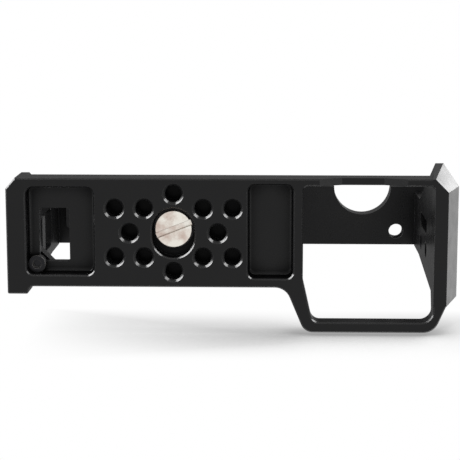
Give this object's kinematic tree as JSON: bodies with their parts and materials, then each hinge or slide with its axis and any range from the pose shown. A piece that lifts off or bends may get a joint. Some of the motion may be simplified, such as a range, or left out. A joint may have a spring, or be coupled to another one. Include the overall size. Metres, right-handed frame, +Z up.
{
  "type": "camera cage",
  "caption": "Camera cage: a bottom plate with a hole grid, captive screw and grip loop, two side walls and a top plate with an accessory shoe.",
  "frame": {"origin": "centre of the hole grid around the camera screw, on the bottom face", "axes": "+X to the viewer's right, where the grip loop is; +Y forward, the way the lens looks; +Z up, out of the inside of the bottom plate"},
  "size_m": [0.139, 0.0507, 0.0887],
  "materials": {
    "anodised": "black anodised, satin",
    "black_steel": "black oxide",
    "bright_steel": "ground",
    "camera_screw_steel": "turned and plated",
    "rubber": "matt"
  },
  "bodies": {
    "cage": {"base_plate": "anodised", "left_side_plate": "anodised", "right_side_plate": "anodised", "top_plate": "anodised", "cold_shoe": "anodised", "corner_stop": "anodised", "cold_shoe_screws": "black_steel", "shoe_stop_pin": "bright_steel", "left_lower_screws": "black_steel", "left_upper_screws": "black_steel", "right_lower_screws": "black_steel", "right_upper_screws": "black_steel", "left_lower_pins": "bright_steel", "left_upper_pins": "bright_steel", "right_lower_pins": "bright_steel", "right_upper_pins": "bright_steel", "corner_stop_screw": "black_steel", "base_pad_left": "rubber", "base_pad_right": "rubber", "left_wall_pad": "rubber", "top_pad": "rubber"},
    "washer": {"slot_washer": "black_steel"},
    "clip": {"retaining_clip": "bright_steel"},
    "screw": {"camera_screw": "camera_screw_steel"}
  },
  "joints": [
    {"name": "screw_slide", "type": "slide", "parent": "cage", "child": "washer", "axis": [0, 1, 0], "range_m": [-0.0002, 0.0022]},
    {"name": "screw_float", "type": "slide", "parent": "washer", "child": "clip", "axis": [0, 0, 1], "range_m": [-0.0017, 0]},
    {"name": "screw_turn", "type": "hinge", "parent": "clip", "child": "screw", "pos_m": [0, -0.001, 0], "axis": [0, 0, 1], "continuous": true}
  ]
}
